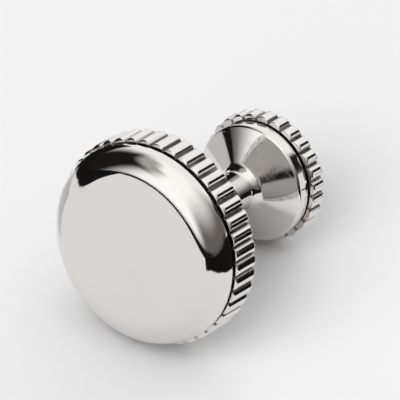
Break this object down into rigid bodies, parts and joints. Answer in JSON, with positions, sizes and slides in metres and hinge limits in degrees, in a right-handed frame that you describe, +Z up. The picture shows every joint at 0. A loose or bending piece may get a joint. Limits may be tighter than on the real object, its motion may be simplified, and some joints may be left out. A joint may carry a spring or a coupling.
{
  "type": "cufflink",
  "caption": "Fixed double-button cufflink: a round polished head with a reeded coin edge, a plain post and a small coned button with a reeded rim.",
  "frame": {"origin": "on the table under the middle of the link, which lies on its two reeded rings", "axes": "+Z up, -Y towards the front of the head, whose face is turned up by the link's tilt, +X to the right as seen from the front"},
  "size_m": [0.017, 0.0208, 0.017],
  "materials": {
    "polished_cap": "mirror-polished white plating on brass",
    "coin_edge": "knurled and plated, polished crests and darker valleys",
    "turned_plate": "turned and plated, fine concentric lathe marks",
    "turned_stem": "turned, polished and plated",
    "bare_brass": "machined, unplated"
  },
  "bodies": {
    "root": {"front_cap": "polished_cap", "reeded_ring": "coin_edge", "base_plate": "turned_plate", "head_nut": "bare_brass", "post": "turned_stem", "button_cone": "turned_stem", "button_ring": "coin_edge", "button_nut": "bare_brass", "button_cap": "polished_cap"}
  },
  "joints": []
}
